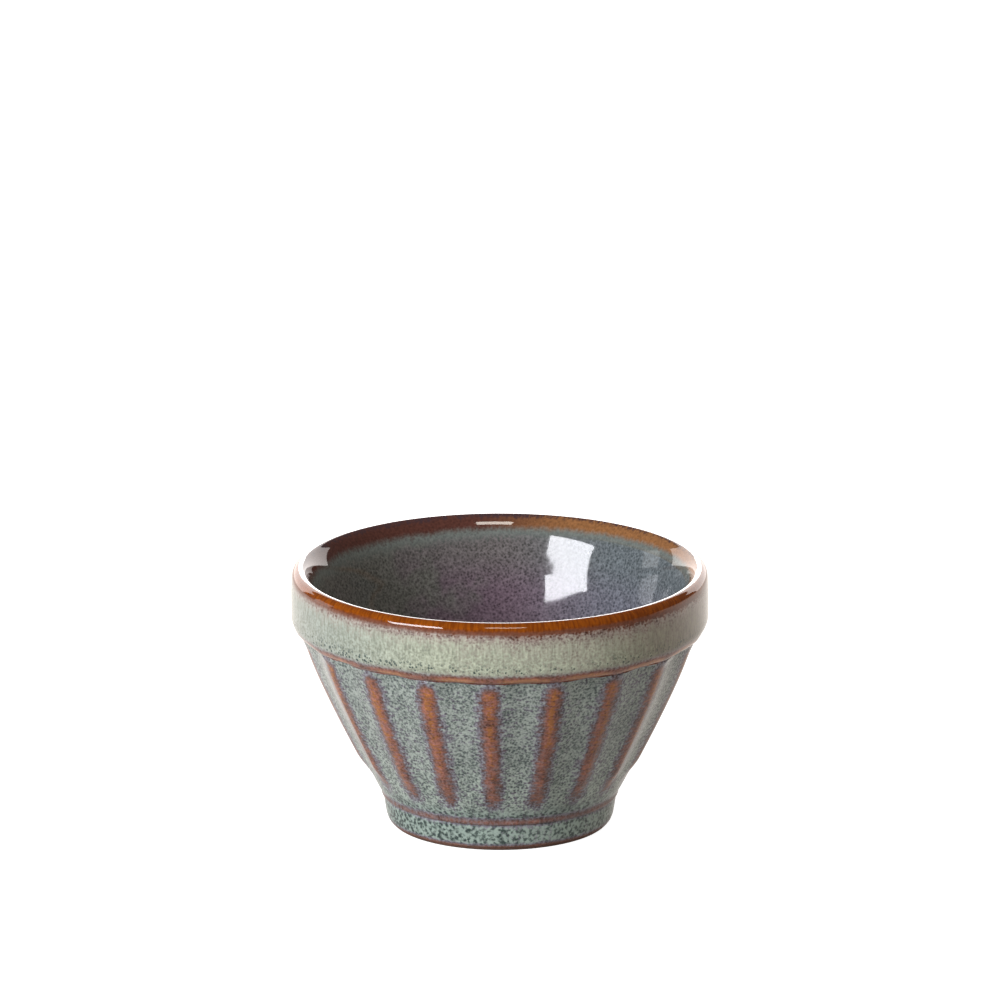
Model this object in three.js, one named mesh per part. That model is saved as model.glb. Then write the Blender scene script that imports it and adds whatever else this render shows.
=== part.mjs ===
// A handleless fluted cup in reactive glaze. The fired clay is one solid. The glaze lies on it as four
// separate coats that share the surface of the clay, pooled in the flutes and thin over ridges and edges.
import * as THREE from "three";

// Driving dimensions, in millimetres. Sizes of the clay are sizes under the glaze.

// Overall clay
const CLAY_HEIGHT = 59.3;
const COLLAR_RADIUS = 47;

// Collar and lip. Inside the rounded edge of the lip a flare leads down to the wall.
const COLLAR_HEIGHT = 13.7;
const COLLAR_TUCK = 1.4;
const COLLAR_TUCK_HEIGHT = 3.8;
const SHOULDER_COVE = 1.8;
const SHOULDER_COVE_HEIGHT = 0.9;
const LIP_ROUND = 1.6;
const FLARE_CORNER = 2;
const FLARE_REACH = 4.4;
const FLARE_DEPTH = 8;

// Bowl. The belly is the control point of the outside curve, measured from the top of that curve.
const BELLY_INSET = 2;
const BELLY_DROP = 8.5;
const WALL = 4.6;
const WALL_AT_FOOT = 6.2;
const FLOOR_THICKNESS = 4.6;
const FLOOR_CURVE_HEIGHT = 9;

// Foot
const FOOT_RADIUS = 25.2;
const FOOT_HEIGHT = 7.85;
const FOOT_FLARE = 1;
const FOOT_BEAD_RADIUS = 0.6;
const FOOT_EDGE = 0.5;
const FOOT_RING_WIDTH = 4.4;
const RECESS_DEPTH = 2.6;
const RECESS_CURVE = 1.2;

// Ridges that stand on the bowl, with a hollow flute between each two. They rise out of the bowl above the
// foot and run into the collar, where an arch on both sides makes them wider.
const RIDGE_COUNT = 19;
const RIDGE_HEIGHT = 1.15;
const RIDGE_LAND = 1.6;
const RIDGE_START_ABOVE_FOOT = 3.2;
const RIDGE_START_RUN = 6.5;
const RIDGE_ARCH = 3;

// Glaze. The bands are the lip's coat below the outer rounding and below the top of the lip inside.
const GLAZE_POOLED = 0.5;
const GLAZE_ON_EDGES = 0.2;
const LIP_BAND_OUTSIDE = 0.8;
const LIP_BAND_INSIDE = 3.6;
const BARE_BAND = 0.5;

// Sizes that follow from the driving dimensions
const COLLAR_BOTTOM = CLAY_HEIGHT - COLLAR_HEIGHT;
const RIDGE_PITCH = (2 * Math.PI) / RIDGE_COUNT;
const RIDGE_START = FOOT_HEIGHT + RIDGE_START_ABOVE_FOOT;
const FLOOR_TOP = RECESS_DEPTH + FLOOR_THICKNESS;
const GLAZE_LINE = FOOT_EDGE + BARE_BAND;
const FOOT_TOP_RADIUS = FOOT_RADIUS + FOOT_FLARE;
const FOOT_INNER_RADIUS = FOOT_RADIUS - FOOT_RING_WIDTH;

// Rows of points along each stretch of the outline. The bowl has more rows where the ridges start.
const BOWL_ROWS = [0, 0.05, 0.1, 0.17, 0.4, 0.7];
const CURVE_ROWS = 2;
const TUCK_ROWS = 2;
const LIP_ROWS = 3;
const INSIDE_ROWS = 3;

// Outline of the clay, as points with radius x and height y

const point = (radius, height) => new THREE.Vector2(radius, height);

const bowlFoot = point(FOOT_TOP_RADIUS + FOOT_BEAD_RADIUS, FOOT_HEIGHT);
const bowlTop = point(COLLAR_RADIUS - COLLAR_TUCK - SHOULDER_COVE, COLLAR_BOTTOM - SHOULDER_COVE_HEIGHT);
const belly = point(bowlTop.x - BELLY_INSET, bowlTop.y - BELLY_DROP);
const bowlCurve = new THREE.QuadraticBezierCurve(bowlFoot, belly, bowlTop);

// Point of the inside of the wall that lies behind a share of the outside curve
function behindBowl(share) {
  const along = bowlCurve.getTangent(share);
  const inward = point(-along.y, along.x);
  const thickness = THREE.MathUtils.lerp(WALL_AT_FOOT, WALL, share);
  return bowlCurve.getPoint(share).addScaledVector(inward, thickness);
}

// Share of the outside curve behind which the inside of the wall reaches a height
function shareBehindHeight(height) {
  let low = 0;
  let high = 1;
  for (let step = 0; step < 40; step += 1) {
    const middle = (low + high) / 2;
    if (behindBowl(middle).y < height) {
      low = middle;
    } else {
      high = middle;
    }
  }
  return low;
}

function undersidePoints() {
  const ceiling = point(FOOT_INNER_RADIUS - RECESS_CURVE, RECESS_DEPTH);
  const corner = point(FOOT_INNER_RADIUS, RECESS_DEPTH);
  const wall = point(FOOT_INNER_RADIUS, RECESS_DEPTH - RECESS_CURVE);
  const curve = new THREE.QuadraticBezierCurve(ceiling, corner, wall);
  return [point(0, RECESS_DEPTH), ...curve.getPoints(CURVE_ROWS), point(FOOT_INNER_RADIUS, GLAZE_LINE)];
}

function treadPoints() {
  return [
    point(FOOT_INNER_RADIUS, FOOT_EDGE),
    point(FOOT_INNER_RADIUS + FOOT_EDGE, 0),
    point(FOOT_RADIUS - FOOT_EDGE, 0),
    point(FOOT_RADIUS, FOOT_EDGE),
  ];
}

function footPoints() {
  const beadHeight = FOOT_HEIGHT - FOOT_BEAD_RADIUS;
  const wallTop = point(FOOT_TOP_RADIUS, beadHeight - FOOT_BEAD_RADIUS);
  const edgeTop = point(FOOT_RADIUS, FOOT_EDGE);
  const bareShare = BARE_BAND / (wallTop.y - FOOT_EDGE);
  return {
    glazeLine: edgeTop.lerp(wallTop, bareShare),
    wallTop,
    bead: point(FOOT_TOP_RADIUS + FOOT_BEAD_RADIUS, beadHeight),
  };
}

function collarPoints() {
  const edge = point(COLLAR_RADIUS - COLLAR_TUCK, COLLAR_BOTTOM);
  const cove = new THREE.QuadraticBezierCurve(bowlTop, point(bowlTop.x, edge.y), edge);
  const wallStart = point(COLLAR_RADIUS, COLLAR_BOTTOM + COLLAR_TUCK_HEIGHT);
  const tuckControl = point(COLLAR_RADIUS, COLLAR_BOTTOM + COLLAR_TUCK_HEIGHT / 3);
  const tuck = new THREE.QuadraticBezierCurve(edge, tuckControl, wallStart);
  return {
    cove: cove.getPoints(CURVE_ROWS).slice(0, -1),
    edge,
    tuck: tuck.getPoints(TUCK_ROWS).slice(1),
  };
}

function lipPoints() {
  const centre = point(COLLAR_RADIUS - LIP_ROUND, CLAY_HEIGHT - LIP_ROUND);
  const round = new THREE.EllipseCurve(centre.x, centre.y, LIP_ROUND, LIP_ROUND, 0, Math.PI / 2);
  const top = point(centre.x, CLAY_HEIGHT);
  const corner = point(top.x - FLARE_CORNER, top.y);
  const flareEnd = point(top.x - FLARE_REACH, top.y - FLARE_DEPTH);
  const flare = new THREE.QuadraticBezierCurve(top, corner, flareEnd);
  // The flare drops with the square of the share of it
  const bandShare = Math.sqrt(LIP_BAND_INSIDE / FLARE_DEPTH);
  const onLip = [1, 2].map((row) => flare.getPoint((bandShare * row) / 3));
  return {
    start: point(COLLAR_RADIUS, centre.y - LIP_BAND_OUTSIDE),
    round: [...round.getPoints(LIP_ROWS), ...onLip],
    belowCoat: [flare.getPoint(bandShare), flare.getPoint((bandShare + 1) / 2), flareEnd],
  };
}

function insidePoints() {
  const floorShare = shareBehindHeight(FLOOR_TOP + FLOOR_CURVE_HEIGHT);
  const wall = Array.from({ length: INSIDE_ROWS }, (_, row) =>
    behindBowl(THREE.MathUtils.lerp(1, floorShare, row / INSIDE_ROWS)),
  );
  const curveStart = behindBowl(floorShare);
  const slope = behindBowl(floorShare + 0.01).sub(curveStart);
  const corner = point(curveStart.x - (FLOOR_CURVE_HEIGHT * slope.x) / slope.y, FLOOR_TOP);
  const curveEnd = point(corner.x - corner.distanceTo(curveStart), FLOOR_TOP);
  const curve = new THREE.QuadraticBezierCurve(curveStart, corner, curveEnd);
  return [...wall, ...curve.getPoints(INSIDE_ROWS), point(0, FLOOR_TOP)];
}

// Stations of the outline from the middle of the underside to the middle of the floor. Each has the
// thickness of the glaze on it, and each section starts where the one before it stops.

const coated = (points, glaze) => points.map((at) => ({ r: at.x, z: at.y, glaze, ridge: 0, widen: 0 }));

const foot = footPoints();
const collar = collarPoints();
const lip = lipPoints();

// Stations on the bowl and under the collar's edge, with the share of the full ridge that stands there and
// how much wider the arch makes it
function bowlStations() {
  const points = [...BOWL_ROWS.map((share) => bowlCurve.getPoint(share)), ...collar.cove];
  return coated(points, GLAZE_POOLED).map((station) => {
    const rise = THREE.MathUtils.smoothstep(station.z, RIDGE_START, RIDGE_START + RIDGE_START_RUN);
    const inCove = Math.max(station.r - bowlTop.x, 0) / SHOULDER_COVE;
    const inArch = Math.max(RIDGE_ARCH - (COLLAR_BOTTOM - station.z), 0);
    const widen = RIDGE_ARCH - Math.sqrt(RIDGE_ARCH ** 2 - inArch ** 2);
    return { ...station, ridge: rise * (1 - inCove), widen };
  });
}

const sections = {
  underside: coated(undersidePoints(), GLAZE_ON_EDGES),
  tread: coated(treadPoints(), 0),
  outside: [
    ...coated([foot.glazeLine], GLAZE_ON_EDGES),
    ...coated([foot.wallTop], GLAZE_POOLED),
    ...coated([foot.bead], GLAZE_ON_EDGES),
    ...bowlStations(),
    ...coated([collar.edge], GLAZE_ON_EDGES),
    ...coated(collar.tuck, GLAZE_POOLED),
  ],
  lip: [...coated([lip.start], GLAZE_POOLED), ...coated(lip.round, GLAZE_ON_EDGES)],
  inside: coated([...lip.belowCoat, ...insidePoints()], GLAZE_POOLED),
};

const stations = Object.values(sections).flat();

// Outward direction of the outline at each station, from the stations on both sides of it
stations.forEach((station, index) => {
  const before = stations[Math.max(index - 1, 0)];
  const after = stations[Math.min(index + 1, stations.length - 1)];
  station.outward = point(after.z - before.z, before.r - after.r).normalize();
});

// Rings of points round the axis

// Share of the height of a ridge at a place on the bowl: 1 on its land, 0 in the middle of a flute
function ridgeShare(angle, station) {
  const nearest = RIDGE_PITCH * Math.round(angle / RIDGE_PITCH);
  const land = RIDGE_LAND / 2;
  const fromLand = Math.abs(angle - nearest) * station.r - land - station.widen;
  const flank = THREE.MathUtils.clamp(fromLand / ((RIDGE_PITCH * station.r) / 2 - land), 0, 1);
  return (1 - flank) ** 2;
}

// Angles of the points of a ring: three to a ridge, or six where a ridge stands
function ringAngles(station) {
  const edge = (RIDGE_LAND / 2 + station.widen) / station.r;
  const plain = [0, RIDGE_PITCH / 3, (2 * RIDGE_PITCH) / 3];
  const ridged = [0, edge, plain[1], RIDGE_PITCH / 2, plain[2], RIDGE_PITCH - edge];
  const offsets = station.ridge > 0 ? ridged : plain;
  return Array.from({ length: RIDGE_COUNT }, (_, ridge) =>
    offsets.map((offset) => ridge * RIDGE_PITCH + offset),
  ).flat();
}

// Ring on the clay, or on the glaze over it
function ringAt(station, onGlaze) {
  if (station.r === 0) {
    return [new THREE.Vector3(0, 0, station.z + (onGlaze ? station.glaze * station.outward.y : 0))];
  }
  return ringAngles(station).map((angle) => {
    const share = station.ridge * ridgeShare(angle, station);
    const depth = onGlaze ? THREE.MathUtils.lerp(station.glaze, GLAZE_ON_EDGES, share) : 0;
    const radius = station.r + share * RIDGE_HEIGHT + depth * station.outward.x;
    const height = station.z + depth * station.outward.y;
    return new THREE.Vector3(radius * Math.cos(angle), radius * Math.sin(angle), height);
  });
}

// Triangles between two rings, taking the next point of whichever ring is behind
function joinRings(first, second) {
  const triangles = [];
  const firstSteps = first.length > 1 ? first.length : 0;
  const secondSteps = second.length > 1 ? second.length : 0;
  let i = 0;
  let j = 0;
  while (i < firstSteps || j < secondSteps) {
    const a = first[i % first.length];
    const b = second[j % second.length];
    const firstIsBehind = j >= secondSteps || (i + 1) * secondSteps <= (j + 1) * firstSteps;
    if (i < firstSteps && firstIsBehind) {
      i += 1;
      triangles.push([a, first[i % first.length], b]);
    } else {
      j += 1;
      triangles.push([a, second[j % second.length], b]);
    }
  }
  return triangles;
}

const sheet = (rings) => rings.slice(1).flatMap((ring, index) => joinRings(rings[index], ring));

const flipped = (triangles) => triangles.map(([a, b, c]) => [a, c, b]);

function meshOf(name, triangles, colour, roughness) {
  const geometry = new THREE.BufferGeometry().setFromPoints(triangles.flat());
  geometry.computeVertexNormals();
  const material = new THREE.MeshStandardMaterial({ color: colour, roughness, metalness: 0 });
  material.name = name;
  const mesh = new THREE.Mesh(geometry, material);
  mesh.name = name;
  return mesh;
}

const clayRings = stations.map((station) => ringAt(station, false));
const glazeRings = stations.map((station) => ringAt(station, true));

// One coat of glaze, from the first station of its section to the first of the next
function coatOf(section, includeNext) {
  const from = stations.indexOf(section[0]);
  const to = from + section.length + (includeNext ? 1 : 0);
  const front = glazeRings.slice(from, to);
  const back = clayRings.slice(from, to);
  const lastFront = front[front.length - 1];
  const lastBack = back[back.length - 1];
  return [
    ...sheet(front),
    ...flipped(sheet(back)),
    ...joinRings(lastFront, lastBack),
    ...joinRings(back[0], front[0]),
  ];
}

// The parts

const cup = new THREE.Group();
cup.name = "fluted_cup";
cup.add(
  meshOf("clay_body", sheet(clayRings), "#8c6448", 0.75),
  meshOf("outer_glaze", coatOf(sections.outside, true), "#8fa59a", 0.18),
  meshOf("lip_glaze", coatOf(sections.lip, true), "#96551f", 0.12),
  meshOf("inner_glaze", coatOf(sections.inside, false), "#75696f", 0.15),
  meshOf("base_glaze", coatOf(sections.underside, false), "#93a79c", 0.2),
);

export default cup;
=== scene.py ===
"""A handleless fluted cup in reactive glaze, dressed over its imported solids.

Every piece is a revolved outline with raised ridges. One geometry node tree turns the outline, raises the
ridges and stores how thin the glaze is at each point. The glaze materials read that: pooled glaze is green
and speckled, and thin glaze breaks through mauve to rust brown and amber.
"""
import math
from dataclasses import dataclass, field

import bpy
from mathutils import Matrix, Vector


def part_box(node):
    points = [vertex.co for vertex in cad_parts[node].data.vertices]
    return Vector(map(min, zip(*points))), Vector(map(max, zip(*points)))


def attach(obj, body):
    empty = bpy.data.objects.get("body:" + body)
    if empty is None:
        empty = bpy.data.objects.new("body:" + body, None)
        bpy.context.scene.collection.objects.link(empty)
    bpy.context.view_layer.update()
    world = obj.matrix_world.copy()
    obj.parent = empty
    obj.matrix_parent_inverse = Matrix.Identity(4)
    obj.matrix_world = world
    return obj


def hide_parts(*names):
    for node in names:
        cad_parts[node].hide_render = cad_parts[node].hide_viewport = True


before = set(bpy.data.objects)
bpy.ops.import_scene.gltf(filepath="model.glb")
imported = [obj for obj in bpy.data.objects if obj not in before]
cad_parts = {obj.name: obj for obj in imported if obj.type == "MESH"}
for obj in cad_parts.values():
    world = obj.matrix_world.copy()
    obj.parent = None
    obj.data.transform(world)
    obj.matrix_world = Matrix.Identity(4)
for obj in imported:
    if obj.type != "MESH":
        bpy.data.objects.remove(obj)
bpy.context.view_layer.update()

bl_info = {
    "name": "Fluted glazed cup",
    "version": (1, 0, 0),
    "blender": (4, 5, 0),
    "location": "3D View > Sidebar > Cup",
    "description": "Builds a handleless fluted cup in reactive glaze",
    "category": "Object",
}

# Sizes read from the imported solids, in metres
CLAY_LOW, CLAY_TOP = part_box("clay_body")
OUTER_COAT_LOW, OUTER_COAT_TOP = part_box("outer_glaze")
LIP_COAT_LOW, LIP_COAT_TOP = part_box("lip_glaze")
FLOOR_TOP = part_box("inner_glaze")[0].z
RECESS_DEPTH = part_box("base_glaze")[1].z
MM = 0.001

BODY = "root"

# Rows and columns of the fine meshes
COLUMNS_PER_RIDGE = 24
ROW_STEP = 0.6 * MM
BACK_ROW_EVERY = 4
CLAY_ROW_EVERY = 2
MERGE_DISTANCE = 0.0005 * MM
SHARP_ANGLE = math.radians(50.0)

# Finish of the glazes and the clay
OUTER_ROUGHNESS = 0.12
INNER_ROUGHNESS = 0.06
OUTER_IOR = 1.5
INNER_IOR = 1.46
RELIEF = {"Strength": 0.2, "Distance": 0.2 * MM}
CLAY_RELIEF = {"Strength": 0.4, "Distance": 0.05 * MM}

# Grain of the patterns, in repeats per metre
MOTTLE_CELLS = 1400.0
MOTTLE_GRAIN = 2300.0
BLOTCH_CELLS = 1050.0
BLOTCH_GRAIN = 1500.0
SPECK_CELLS = 1700.0
PATCHES = 330.0
CLOUDS = 110.0
STREAKS = 950.0
HAIRS = 2400.0
BRISTLES = 1800.0
CLAY_GRAIN = 2400.0
CLAY_PATCHES = 260.0

# Stretch of what ran down the wall and of the short strokes across the ridges
RUN_RADIUS = 0.04
RUN_STRETCH = 0.16
BRISTLE_STRETCH = 0.35

# How far streaks, grain and clouds shift the thinness of each coat
OUTER_JITTER = (0.36, 0.28, 0.32)
INNER_JITTER = (0.2, 0.12, 0.16)
LIP_JITTER = (0.2, 0.07, 0.14)
BASE_JITTER = (0.3, 0.16, 0.25)
RIDGE_STROKES = 0.9

# Thinness over which the glaze turns from one colour to the next
TO_HAZE = (0.04, 0.28)
TO_FRINGE = (0.24, 0.54)
TO_RUST = (0.48, 0.80)
TO_AMBER = (0.84, 1.02)
TO_LIP_AMBER = (1.0, 1.1)

# Thin glaze: its darkest grain, how far the grain goes, and how much smoother it is
THIN_DARKEST = 0.4
THIN_SPREAD = 1.2
THIN_SMOOTHER = 0.02

# Heights where zones start and stop, over the foot, the collar's lower edge or the lip coat's inner edge
BOWL_START = (0.5 * MM, 4.0 * MM)
HIGH_BOWL_START = (5.0 * MM, 20.0 * MM)
RIDGES_START = (2.0 * MM, 4.0 * MM)
RIDGES_STOP = (-3.0 * MM, -1.0 * MM)
EDGE_START = (-1.6 * MM, -0.8 * MM)
COLLAR_START = (0.8 * MM, 2.6 * MM)
GATHER_START = (1.4 * MM, 2.0 * MM)
GATHER_STOP = (2.6 * MM, 5.5 * MM)
NEAR_LIP_START = (6.0 * MM, 8.0 * MM)
INNER_TOP_START = (-14.0 * MM, -3.0 * MM)

# Places to the left or right of the axis where colours turn, and outward from the crest of the lip
# Where the collar's pale takes a painted tone on the left side, darker and bluer where the key light falls
COLLAR_PAINTED_LEFT = (12.0 * MM, 45.0 * MM)
# Where painted shade darkens and browns the collar on its right side, away from the key light
COLLAR_PAINTED_SHADE = (15.0 * MM, 45.0 * MM)
RUN_RIGHT = (-6.0 * MM, 20.0 * MM)
INNER_LEFT = (4.0 * MM, 22.0 * MM)
INNER_LEFT_CLOUDS = 50.0 * MM
INNER_RIGHT = (0.0 * MM, 30.0 * MM)
LIP_OUTSIDE = (-0.3 * MM, 0.5 * MM)

# Contrast of the patterns, and how strongly they show
NET_CONTRAST = (0.15, 0.85)
GRAIN_CONTRAST = (0.3, 0.7)
SPECK_CONTRAST = (-0.05, 0.12)
FOOT_CONTRAST = (0.2, 0.8)
BOWL_CONTRAST = (0.0, 1.0)
COLLAR_HAIR_CONTRAST = (0.25, 0.75)
LIP_HAIR_CONTRAST = (0.3, 0.7)
CLAY_CONTRAST = (0.35, 0.65)
DRIFT = 0.7
SPECKS = 0.16
GATHERED_SPECKS = 0.8
COLLAR_HAIRS = 0.3
NEAR_LIP_HAIRS = 0.55
COLLAR_HAZE = 0.3
RUN_GRAIN = 0.45
INNER_TOP = 0.7

# How much less thin the glaze is on the collar's edge where a ridge meets it
LINE_BREAK = 0.4


def length(name, description, default):
    """A size in metres that a user can change."""
    return bpy.props.FloatProperty(
        name=name, description=description, default=default, min=0.0, unit="LENGTH", precision=5
    )


def angle(name, description, degrees):
    """An angle that a user can change."""
    return bpy.props.FloatProperty(
        name=name, description=description, default=math.radians(degrees), subtype="ANGLE"
    )


def colour(name, description, default):
    """A linear colour that a user can change."""
    return bpy.props.FloatVectorProperty(
        name=name, description=description, default=default, size=3, min=0.0, max=1.0, subtype="COLOR"
    )


class CupSizes(bpy.types.PropertyGroup):
    """Sizes of the clay under the glaze, and of the glaze on it."""

    clay_height: length("Clay height", "Height of the clay to the top of the lip", CLAY_TOP.z)
    collar_radius: length("Collar radius", "Radius of the clay at the collar", -CLAY_LOW.x)
    collar_height: length("Collar height", "Height of the collar with its lip", 13.7 * MM)
    collar_tuck: length("Collar tuck", "How far the collar draws in at its lower edge", 1.4 * MM)
    tuck_height: length("Tuck height", "Height over which the collar draws in", 3.8 * MM)
    shoulder_cove: length("Shoulder cove", "Overhang of the collar's lower edge over the bowl", 1.8 * MM)
    cove_height: length("Cove height", "Height of the hollow under the collar's edge", 0.9 * MM)
    shoulder_round: length("Shoulder rounding", "Rounding of the collar's lower edge", 0.7 * MM)
    shoulder_dip: length("Shoulder dip", "How far the collar's edge dips over each ridge", 0.2 * MM)
    lip_round: length("Lip rounding", "Radius of the outer rounding of the lip", 1.6 * MM)
    flare_corner: length("Flare corner", "Inward place of the inner flare's control point", 2.0 * MM)
    flare_reach: length("Flare reach", "How far the inner flare reaches inward", 4.4 * MM)
    flare_depth: length("Flare depth", "How far the inner flare reaches down", 8.0 * MM)
    belly_inset: length("Belly inset", "Inward place of the bowl curve's control point", 2.0 * MM)
    belly_drop: length("Belly drop", "Drop of the bowl curve's control point", 8.5 * MM)
    wall: length("Wall", "Thickness of the bowl's wall under the collar", 4.6 * MM)
    wall_at_foot: length("Wall at the foot", "Thickness of the bowl's wall at the foot", 6.2 * MM)
    floor_curve: length("Floor curve", "Height of the curve from the wall to the floor", 9.0 * MM)
    foot_radius: length("Foot radius", "Radius of the foot just above the table", 25.2 * MM)
    foot_height: length("Foot height", "Height of the foot", 7.85 * MM)
    foot_flare: length("Foot flare", "How much wider the foot is at its top", 1.0 * MM)
    foot_bead: length("Foot bead", "Radius of the bead on top of the foot", 0.6 * MM)
    foot_edge: length("Foot edge", "Bevel at both edges of the tread", 0.5 * MM)
    foot_ring: length("Foot ring", "Width of the foot ring", 4.4 * MM)
    recess_curve: length("Recess curve", "Fillet inside the foot ring", 1.2 * MM)
    bare_band: length("Bare band", "Bare clay left above the edge of the foot", 0.5 * MM)
    ridges: bpy.props.IntProperty(
        name="Ridges", description="Number of ridges round the bowl", default=19, min=3
    )
    ridge_height: length("Ridge height", "Height of a ridge over the flutes", 1.15 * MM)
    ridge_land: length("Ridge land", "Width of the crest of a ridge", 1.6 * MM)
    ridge_start: length("Ridge start", "Height of the start of the ridges above the foot", 3.2 * MM)
    ridge_start_run: length("Ridge start run", "Length over which a ridge rises", 6.5 * MM)
    ridge_fillet: length("Ridge fillet", "Radius of the arch between a ridge and the collar", 3.0 * MM)
    bare_width: length("Bare width", "Distance from a ridge over which the glaze thickens", 2.2 * MM)
    bare_stop_run: length("Bare stop run", "Length below the collar where glaze gathers", 2.4 * MM)
    lean_angle: angle("Lean angle", "Side on which the lip's glaze ran furthest down inside", 150.0)
    glaze_pooled: length("Pooled glaze", "Thickness of pooled glaze", CLAY_LOW.x - OUTER_COAT_LOW.x)
    glaze_edges: length("Thin glaze", "Thickness of glaze on ridges and edges", LIP_COAT_TOP.z - CLAY_TOP.z)
    lip_band_outside: length("Lip band outside", "Height of the lip coat's lower edge", OUTER_COAT_TOP.z)
    lip_band_inside: length("Lip band inside", "Height of the lip coat's inner edge", LIP_COAT_LOW.z)


class GlazeColours(bpy.types.PropertyGroup):
    """Linear colours of the clay and the glazes."""

    clay_pale: colour("Clay", "Bare fired clay", (0.20, 0.095, 0.06))
    clay_dark: colour("Dark clay", "Dark grains in the clay", (0.08, 0.034, 0.022))
    pool_dark: colour("Dark pool", "Dark part of the pooled green glaze", (0.085, 0.108, 0.10))
    pool_pale: colour("Pale pool", "Pale net of the pooled green glaze", (0.44, 0.49, 0.435))
    pool_low: colour("Low pool", "Pale net of the green glaze low on the bowl", (0.51, 0.585, 0.50))
    foot_dark: colour("Dark foot", "Dark dots of the glaze on the foot", (0.04, 0.062, 0.055))
    foot_pale: colour("Pale foot", "Pale net of the glaze on the foot", (0.36, 0.45, 0.39))
    collar_dark: colour("Dark collar", "Dark part of the glaze on the collar", (0.18, 0.195, 0.145))
    collar_pale: colour("Pale collar", "Pale part of the glaze on the collar", (0.575, 0.615, 0.465))
    # Painted light: the collar's pale turns darker and bluer on the left side, where the key light falls
    collar_pale_painted_left: colour("Collar painted left tone", "Pale part of the collar's left side", (0.465, 0.51, 0.45))
    # Painted shade: the collar's right side, away from the key light, is darker and browner in both its
    # pale and dark parts
    collar_pale_painted_shade: colour("Collar painted shade pale", "Pale part of the collar's right side", (0.315, 0.285, 0.19))
    collar_dark_painted_shade: colour("Collar painted shade dark", "Dark part of the collar's right side", (0.065, 0.05, 0.04))
    speck: colour("Specks", "Dark specks in the green glaze", (0.035, 0.06, 0.055))
    haze_dark: colour("Dark haze", "Dark lavender round the thin glaze", (0.075, 0.07, 0.085))
    haze_pale: colour("Pale haze", "Pale lavender round the thin glaze", (0.33, 0.31, 0.36))
    fringe_dark: colour("Dark fringe", "Dark mauve where the glaze gets thinner", (0.07, 0.045, 0.045))
    fringe_pale: colour("Pale fringe", "Pale mauve where the glaze gets thinner", (0.262, 0.172, 0.158))
    collar_fringe_dark: colour("Dark collar fringe", "Dark streaks under the lip", (0.19, 0.14, 0.12))
    collar_fringe_pale: colour("Pale collar fringe", "Pale streaks under the lip", (0.44, 0.37, 0.32))
    rust: colour("Rust", "Thin glaze on ridges and edges", (0.275, 0.110, 0.076))
    amber: colour("Amber", "Thinnest glaze on crests", (0.37, 0.14, 0.042))
    # Brighter than amber: the thin glaze on the collar's lower edge, with a painted highlight of the light
    # its rounding catches
    shoulder: colour("Shoulder", "Thin glaze on the collar's lower edge", (0.46, 0.20, 0.095))
    lip_rust: colour("Lip rust", "Lower edge of the glaze on the lip", (0.17, 0.055, 0.026))
    lip_amber: colour("Lip amber", "Glaze on the lip", (0.285, 0.068, 0.002))
    lip_brown: colour("Lip brown", "Dark streaks of the glaze on the lip", (0.175, 0.036, 0.001))
    lip_edge: colour("Lip edge", "Dark edge of the lip inside", (0.065, 0.034, 0.038))
    run_red: colour("Red run", "Run from the lip on the left side inside", (0.10, 0.036, 0.026))
    run_gold: colour("Golden run", "Run from the lip on the right side inside", (0.27, 0.12, 0.045))
    run_fringe_dark: colour("Dark run fringe", "Dark end of the runs inside", (0.075, 0.085, 0.082))
    run_fringe_pale: colour("Pale run fringe", "Pale end of the runs inside", (0.235, 0.265, 0.24))
    plum_dark: colour("Dark plum", "Dark part of the glaze inside", (0.055, 0.036, 0.048))
    plum_pale: colour("Pale plum", "Pale net of the glaze inside", (0.226, 0.158, 0.20))
    slate_dark: colour("Dark slate", "Dark part of the blue side inside", (0.050, 0.052, 0.064))
    slate_pale: colour("Pale slate", "Pale net of the blue side inside", (0.22, 0.225, 0.27))
    moss_dark: colour("Dark moss", "Dark part of the green zone inside", (0.050, 0.052, 0.042))
    moss_pale: colour("Pale moss", "Pale part of the green zone inside", (0.207, 0.204, 0.186))
    teal_dark: colour("Dark teal", "Dark part of the right side under the lip", (0.045, 0.06, 0.06))
    teal_pale: colour("Pale teal", "Pale part of the right side under the lip", (0.20, 0.24, 0.245))


# Outlines


@dataclass
class Station:
    """One row of an outline: where it is and how the glaze lies on it."""

    radius: float
    height: float
    thin: float = 0.0
    ridge: float = 0.0
    bare: float = 0.0
    fillet: float = 0.0
    lean: float = 0.0
    dip: float = 0.0
    outward: Vector = field(default_factory=lambda: Vector((0.0, 0.0)))


def at(radius, height):
    return Vector((radius, height))


def curve_point(start, control, end, share):
    """Point of a quadratic curve."""
    return start * (1 - share) ** 2 + control * (2 * share * (1 - share)) + end * share**2


def curve(start, control, end, steps):
    """Points of a quadratic curve, its last point left out."""
    return [curve_point(start, control, end, step / steps) for step in range(steps)]


def line(start, end):
    """Points of a straight stretch about a row apart, its last point left out."""
    steps = max(1, round((end - start).length / ROW_STEP))
    return [start.lerp(end, step / steps) for step in range(steps)]


def smooth_step(value, low, high):
    share = min(max((value - low) / (high - low), 0.0), 1.0)
    return share * share * (3 - 2 * share)


def edge_thin(point, edge, width, most, fall=2):
    """How thin the glaze is near an edge, most of all on it."""
    return most * math.exp(-(((point - edge).length / width) ** fall))


def thinned(rows, every):
    """Every so many rows, with the last one kept."""
    return rows[:-1:every] + rows[-1:]


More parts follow.
